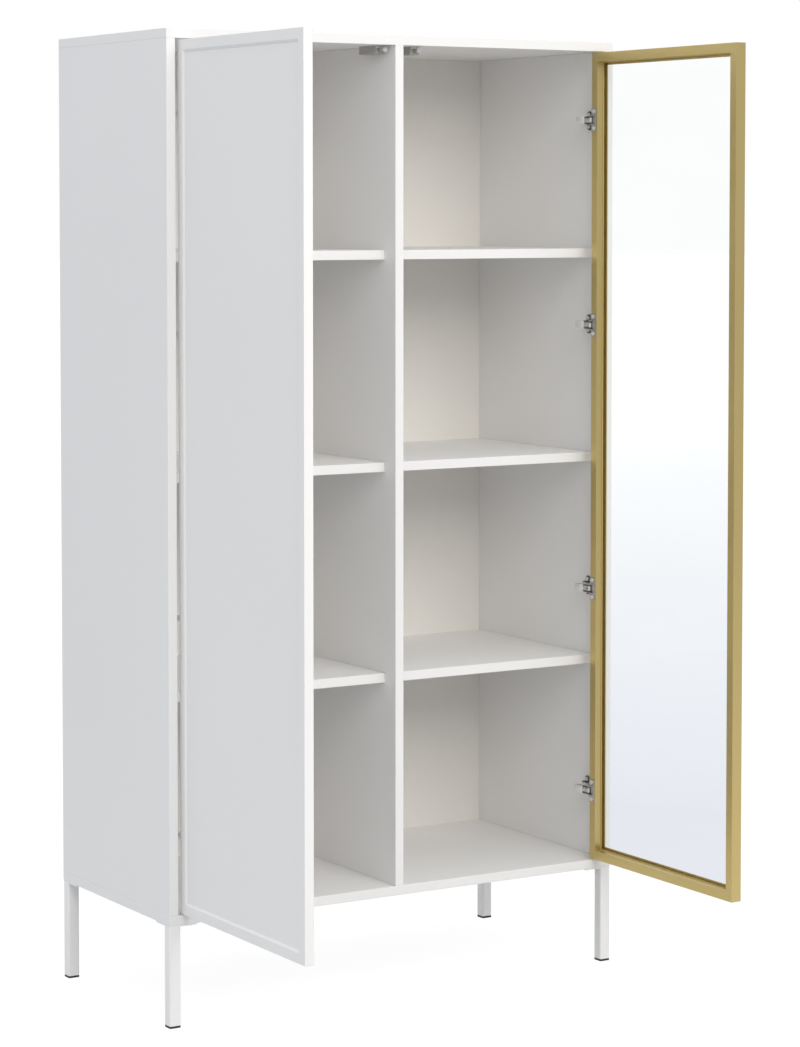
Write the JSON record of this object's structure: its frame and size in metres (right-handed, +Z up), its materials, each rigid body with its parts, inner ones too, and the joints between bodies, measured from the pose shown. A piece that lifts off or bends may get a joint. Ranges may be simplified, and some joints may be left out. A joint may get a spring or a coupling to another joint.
{
  "type": "bookcase with doors",
  "caption": "Tall white bookcase on square legs, with shelves behind an inset panel door and an inset gold-framed glass door on concealed link hinges.",
  "frame": {"origin": "on the floor, at the middle of the cabinet's width, in the plane of the cabinet's front edges; with both doors open this is near the middle of the whole footprint", "axes": "+X to the right as seen from the front, +Y from the front to the back, +Z up"},
  "size_m": [0.825, 0.764, 1.53],
  "materials": {
    "white_board": "smooth white lacquer or foil on chipboard",
    "cream_board": "thin fibreboard with a cream foil",
    "white_steel": "white powder coat",
    "gold_bar": "brushed and anodised gold",
    "clear_glass": "clear",
    "hinge_steel": "nickel plated",
    "screw_steel": "zinc plated",
    "grey_plastic": "matte grey",
    "pale_plastic": "matte pale grey",
    "black_rubber": "matte black",
    "clear_rubber": "soft translucent seal",
    "beech": "bare beech"
  },
  "bodies": {
    "cabinet": {"back_left_foot_cap": "black_rubber", "back_left_leg": "white_steel", "back_panel_nails": "screw_steel", "back_right_foot_cap": "black_rubber", "back_right_leg": "white_steel", "bottom_panel": "white_board", "carcass_dowels": "beech", "carcass_screws": "screw_steel", "centre_divider": "white_board", "front_left_foot_cap": "black_rubber", "front_left_leg": "white_steel", "front_right_foot_cap": "black_rubber", "front_right_leg": "white_steel", "hinge_plate_screws": "screw_steel", "latch_screws": "screw_steel", "left_back_panel": "cream_board", "left_high_shelf": "white_board", "left_hinge_arms": "hinge_steel", "left_hinge_plates": "hinge_steel", "left_latch_body": "grey_plastic", "left_latch_spring": "screw_steel", "left_low_shelf": "white_board", "left_middle_shelf": "white_board", "left_side_panel": "white_board", "leg_screws": "screw_steel", "right_back_panel": "cream_board", "right_high_shelf": "white_board", "right_hinge_arms": "hinge_steel", "right_hinge_plates": "hinge_steel", "right_latch_body": "grey_plastic", "right_latch_spring": "screw_steel", "right_low_shelf": "white_board", "right_middle_shelf": "white_board", "right_side_panel": "white_board", "shelf_pins": "screw_steel", "top_panel": "white_board"},
    "left_links": {"left_hinge_links": "hinge_steel", "left_hinge_pins": "screw_steel"},
    "right_links": {"right_hinge_links": "hinge_steel", "right_hinge_pins": "screw_steel"},
    "left_door": {"left_door_bottom_rail": "white_board", "left_door_corner_dowels": "beech", "left_door_free_stile": "white_board", "left_door_hinge_stile": "white_board", "left_door_panel": "white_board", "left_door_top_rail": "white_board", "left_hinge_cup_screws": "screw_steel", "left_hinge_cups": "hinge_steel"},
    "right_door": {"glass_gasket": "clear_rubber", "glass_pane": "clear_glass", "right_door_bottom_rail": "gold_bar", "right_door_corner_keys": "grey_plastic", "right_door_free_stile": "gold_bar", "right_door_hinge_stile": "gold_bar", "right_door_top_rail": "gold_bar", "right_hinge_cup_screws": "screw_steel", "right_hinge_cups": "hinge_steel"},
    "left_plunger": {"left_latch_plunger": "pale_plastic"},
    "right_plunger": {"right_latch_plunger": "pale_plastic"}
  },
  "joints": [
    {"name": "left_link_swing", "type": "hinge", "parent": "cabinet", "child": "left_links", "pos_m": [-0.36585, 0.03256, 0.8445], "axis": [0, 0, -1], "range_deg": [-7, 59.5]},
    {"name": "left_door_swing", "type": "hinge", "parent": "left_links", "child": "left_door", "pos_m": [-0.3703, 0.003, 0.8445], "axis": [0, 0, -1], "range_deg": [-149.11, 16.57]},
    {"name": "right_link_swing", "type": "hinge", "parent": "cabinet", "child": "right_links", "pos_m": [0.36585, 0.03256, 0.8445], "axis": [0, 0, 1], "range_deg": [-7, 59.5]},
    {"name": "right_door_swing", "type": "hinge", "parent": "right_links", "child": "right_door", "pos_m": [0.3703, 0.003, 0.8445], "axis": [0, 0, 1], "range_deg": [-149.11, 16.57]},
    {"name": "left_latch_push", "type": "slide", "parent": "cabinet", "child": "left_plunger", "axis": [0, 1, 0], "range_m": [0, 0.006], "stiffness_N_per_m": 200, "deforming": ["left_latch_spring"]},
    {"name": "right_latch_push", "type": "slide", "parent": "cabinet", "child": "right_plunger", "axis": [0, 1, 0], "range_m": [0, 0.006], "stiffness_N_per_m": 200, "deforming": ["right_latch_spring"]}
  ],
  "couplings": [
    {"joint": "left_link_swing", "follows": "left_door_swing", "ratio": -0.39642},
    {"joint": "right_link_swing", "follows": "right_door_swing", "ratio": -0.39642}
  ]
}
